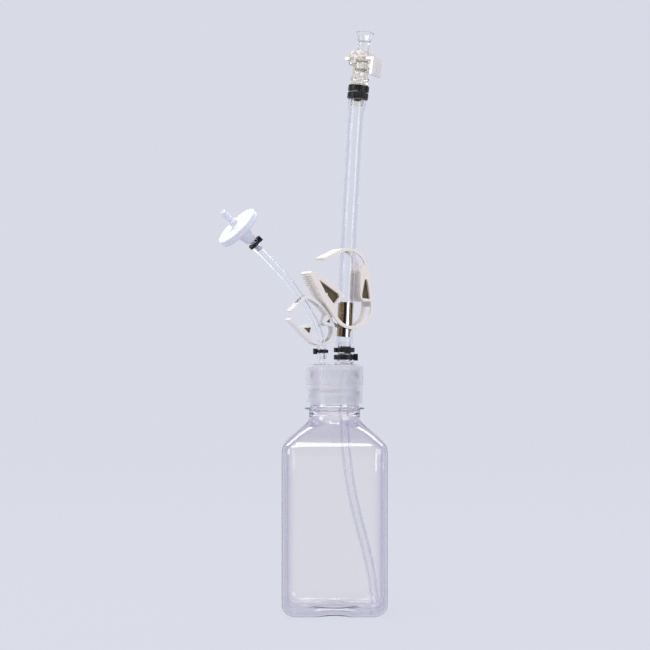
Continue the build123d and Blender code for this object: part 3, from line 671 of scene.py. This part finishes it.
def neck_rings():
    """Outside of the neck: transfer ledge, threads and rim."""
    rings = []
    ledge = [(156.0, 20.4), (160.1, 20.4), (161.1, 20.8), (161.5, 21.6), (161.6, 23.5), (161.85, 23.9),
             (162.4, 23.9), (162.7, 23.5), (162.8, 21.0), (163.2, 19.8), (164.1, 19.4), (166.5, 19.4)]
    for height, radius in ledge:
        rings.append(circle(Vector((0, 0, height * MM)), Vector((1, 0, 0)), Vector((0, 1, 0)),
                            radius * MM, BOTTLE_SIDES))
    height = 166.9
    while height < 182.5:
        ring = []
        for i in range(BOTTLE_SIDES):
            turn = 2 * math.pi * i / BOTTLE_SIDES
            radius = FINISH_RADIUS + thread_height(turn, height, THREAD_START)
            ring.append(Vector((radius * math.cos(turn), radius * math.sin(turn), height)) * MM)
        rings.append(ring)
        height += 0.4
    for height, radius in [(185.5, 19.4), (190.9, 19.4), (191.35, 19.2), (191.5, 18.8), (191.5, 18.0),
                           (191.35, 17.6), (190.9, 17.4), (183.5, 17.4), (168.5, 17.4), (159.0, 17.5)]:
        rings.append(circle(Vector((0, 0, height * MM)), Vector((1, 0, 0)), Vector((0, 1, 0)),
                            radius * MM, BOTTLE_SIDES))
    return rings


def make_bottle():
    """Outside from the underside to the rim, then back down the inside."""
    profile = body_profile()
    inner = inset_profile(profile, WALL)
    outside = base_rings(BODY_HALF - BASE_ROUND, BODY_CORNER - BASE_ROUND, 0.0)
    outside += [bottle_ring(*level) for level in profile]
    inside = [bottle_ring(*level, lift=WALL) for level in inner[::-1] if level[0] < 156.5]
    inside += base_rings(BODY_HALF - BASE_ROUND, BODY_CORNER - BASE_ROUND, WALL)[::-1]
    rings = outside + neck_rings() + inside
    return rings_mesh("bottle_wall", rings, cap_start=True, cap_end=True)


add_piece(make_bottle(), "clear_bottle", "bottle", "bottle")


# ---------------------------------------------------------------- turned pieces
def lathe(name, origin, axis, profile, sides=96, closed=False, smooth_angle=35):
    """Surface of revolution about an axis of the tube plane, from (radius, height) in millimetres."""
    up = axis.cross(FORWARD).normalized()
    rings = [circle(origin + axis * height * MM, FORWARD, up, radius * MM, sides)
             for radius, height in profile]
    return rings_mesh(name, rings, closed=closed, cap_start=not closed, cap_end=not closed,
                      smooth_angle=smooth_angle)


# ---------------------------------------------------------------- closure
RING_SIDES, RIB_COUNT, RIB_DEPTH = 540, 90, 0.35
RING_BORE = 20.9


def closure_outside():
    """(height, radius, share of the ribs) up the outside of the closure and over its lip."""
    levels = [(165.9, 22.45, 0), (166.2, 22.7, 0), (171.0, 22.7, 0), (176.4, 22.7, 0), (177.6, 22.8, 0),
              (178.0, 23.0, 0), (178.3, 23.1, 0), (179.2, 23.1, 0), (179.6, 22.85, 0), (180.0, 23.05, 0),
              (180.5, 23.1, 0), (180.8, 22.9, 0), (181.0, 22.7, 0), (181.5, 22.7, 1)]
    levels += [(181.5 + 1.2 * step, 22.7, 1) for step in range(1, 11)]
    levels += [(194.3, 22.7, 0.9), (195.0, 22.7, 0.6), (195.6, 22.7, 0.25)]
    for step in range(1, 7):
        turn = math.radians(15 * step)
        levels.append((195.7 + 1.6 * math.sin(turn), 21.1 + 1.6 * math.cos(turn), 0))
    return levels + [(197.3, 18.2, 0), (197.15, 17.75, 0), (196.9, 17.6, 0), (195.1, 17.6, 0)]


def closure_ring_point(turn, height, radius):
    """Point round the closure's axis, from millimetres."""
    return Vector((radius * math.cos(turn), radius * math.sin(turn), height)) * MM


def make_closure():
    """Ribbed cap with a smooth skirt, an inner lip and a thread."""
    turns = [2 * math.pi * i / RING_SIDES for i in range(RING_SIDES)]
    rings = []
    for height, radius, share in closure_outside():
        rings.append([closure_ring_point(
            turn, height, radius + share * RIB_DEPTH * (0.5 + 0.5 * math.cos(RIB_COUNT * turn)))
            for turn in turns])
    rings.append([closure_ring_point(turn, 194.9, 17.8) for turn in turns])
    rings.append([closure_ring_point(turn, 194.9, RING_BORE - 0.3) for turn in turns])
    height = 194.6
    while height > 166.6:
        rings.append([closure_ring_point(
            turn, height, RING_BORE - thread_height(turn, height, THREAD_START + PITCH / 2))
            for turn in turns])
        height -= 0.4 if height < 182 else 2.0
    rings.append([closure_ring_point(turn, 166.1, RING_BORE) for turn in turns])
    rings.append([closure_ring_point(turn, 165.9, RING_BORE + 0.2) for turn in turns])
    return rings_mesh("closure_wall", rings, closed=True, smooth_angle=60)


add_piece(make_closure(), "milky_closure", "closure", "closure_ring")


# ---------------------------------------------------------------- moulded pieces
CREASE_ANGLE = math.radians(38)


def refined(node, slot, body, edge, segments=2):
    """Copy of a CAD node with welded faces and rounded edges, which stands for the node."""
    shape = bmesh.new()
    shape.from_mesh(NODES[node].data)
    bmesh.ops.remove_doubles(shape, verts=shape.verts, dist=0.00001)
    bmesh.ops.dissolve_limit(shape, angle_limit=math.radians(0.6), verts=shape.verts, edges=shape.edges)
    mesh = bpy.data.meshes.new(node + "_moulding")
    shape.to_mesh(mesh)
    shape.free()
    mesh.shade_smooth()
    mesh.set_sharp_from_angle(angle=CREASE_ANGLE)
    piece = bpy.data.objects.new(node + "_moulding", mesh)
    scene.collection.objects.link(piece)
    rounding = piece.modifiers.new("rounding", "BEVEL")
    rounding.width = edge * MM
    rounding.segments = segments
    rounding.limit_method = "ANGLE"
    rounding.angle_limit = CREASE_ANGLE
    rounding.harden_normals = True
    return add_piece(piece, slot, body, node)


refined("large_clamp_body", "ivory_plastic", "port_assembly", 0.55)
refined("large_clamp_arm", "ivory_plastic", "large_clamp_arm", 0.5)
refined("small_clamp_body", "white_plastic", "port_assembly", 0.5)
refined("small_clamp_arm", "white_plastic", "small_clamp_arm", 0.5)
refined("latch_plate", "white_plastic", "latch", 0.45)
for tie in ("transfer_tie_lower", "transfer_tie_upper", "coupling_tie_lower", "coupling_tie_upper"):
    refined(tie, "black_nylon", "port_assembly", 0.4, 3)
for tie in ("vent_tie", "filter_tie"):
    refined(tie, "black_nylon", "port_assembly", 0.3, 3)
refined("coupling_body", "amber_plastic", "port_assembly", 0.25)
refined("port_insert", "clear_moulding", "port_assembly", 0.2)

LARGE_PLACE, SMALL_PLACE = (10.45, 251.5), (-17.1, 229.3)
WEB_OVERLAP = 1.06                      # a web reaches a little into the pocket's walls


def pocket_floor(name, where, outline, body, depth):
    """Web that closes a clamp's side pocket halfway through it, dark with painted shade."""
    middle = place(*where)
    centre = Vector((sum(x for x, y in outline) / len(outline), sum(y for x, y in outline) / len(outline)))
    loops = []
    for share in (-1, 1):
        loop = []
        for x, y in outline:
            grown = centre + (Vector((x, y)) - centre) * WEB_OVERLAP
            loop.append(middle + (ALONG * grown.x + UP * grown.y + FORWARD * share * depth) * MM)
        loops.append(loop)
    web = rings_mesh(name, loops, cap_start=True, cap_end=True, smooth_angle=20)
    web.data.materials.append(POCKET_PAINTED_SHADE)
    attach(web, body)


# the webs carry painted shade: their dark colour stands for the shade deep in the pockets
POCKET_PAINTED_SHADE = shaded_pocket()
pocket_floor("large_body_web", LARGE_PLACE,
             [(12.3, 13.6), (14.2, 13.8), (15.4, 9.0), (17.0, -2.0), (9.9, -1.2), (9.8, 1.5)],
             "port_assembly", 6.0)
pocket_floor("large_arm_web", LARGE_PLACE,
             [(-28.0, 13.2), (-10.9, 1.9), (-10.2, -0.4), (-14.8, -6.3), (-20.6, 0.6), (-20.7, 2.6)],
             "large_clamp_arm", 6.0)
pocket_floor("small_body_web", SMALL_PLACE, [(7.9, 1.8), (10.7, 4.5), (11.4, 1.0)],
             "port_assembly", 2.6)
pocket_floor("small_arm_web", SMALL_PLACE, [(-11.6, -3.1), (-5.6, -2.5), (-6.8, -7.6)],
             "small_clamp_arm", 2.6)

# ---------------------------------------------------------------- vent filter
FILTER_AXIS = heading_vector(137.5)
FILTER_ORIGIN = place(-69.4, 292.2)
add_piece(lathe("filter_inlet_housing", FILTER_ORIGIN, FILTER_AXIS, [
    (1.0, 17.3), (1.0, -6.4), (1.8, -6.4), (2.1, -3.9), (1.8, -3.7), (2.1, -1.2), (1.8, -1.0), (2.1, 1.5),
    (1.9, 3.5), (4.0, 3.55), (4.3, 3.9), (5.0, 8.5), (6.4, 12.6), (9.5, 14.2), (14.6, 15.1), (17.3, 15.4),
    (18.1, 15.7), (18.5, 16.4), (18.5, 18.1), (18.35, 18.4), (16.4, 18.4), (16.4, 17.3),
], closed=True), "filter_housing", "port_assembly", "filter_inlet_shell")
add_piece(lathe("filter_outlet_housing", FILTER_ORIGIN, FILTER_AXIS, [
    (1.2, 19.6), (16.4, 19.6), (16.4, 18.4), (18.35, 18.4), (18.5, 18.6), (18.5, 20.7), (18.1, 21.2),
    (17.4, 21.3), (16.6, 21.25), (16.2, 20.9), (15.0, 20.85), (14.6, 21.05), (13.4, 21.05), (13.0, 20.85),
    (7.4, 20.9), (5.6, 21.0), (4.2, 21.6), (3.35, 22.6), (3.35, 26.0), (3.1, 26.3), (2.4, 26.3),
    (2.4, 36.2), (1.9, 36.8), (1.35, 36.8), (1.2, 36.6),
], closed=True), "filter_housing", "port_assembly", "filter_outlet_shell")

# ---------------------------------------------------------------- plug
COUPLING_AXIS = heading_vector(82.5)
COUPLING_ORIGIN = place(21.9, 421.9)
add_piece(lathe("sealing_plug_moulding", COUPLING_ORIGIN, COUPLING_AXIS, [
    (4.0, 8.6), (4.5, 8.8), (4.7, 9.4), (4.7, 11.3), (3.5, 11.4), (3.5, 12.9), (4.7, 13.0), (4.7, 19.0),
    (4.2, 19.3), (4.2, 21.6), (4.7, 22.0), (4.7, 34.0), (4.85, 35.0), (5.35, 36.7), (6.05, 38.8),
    (6.75, 40.6), (7.35, 41.8), (7.4, 42.1), (7.2, 42.4), (6.7, 42.2), (5.7, 40.0), (4.9, 37.8),
    (4.0, 35.8), (2.6, 34.7), (0.6, 34.4),
]), "clear_moulding", "plug", "sealing_plug")
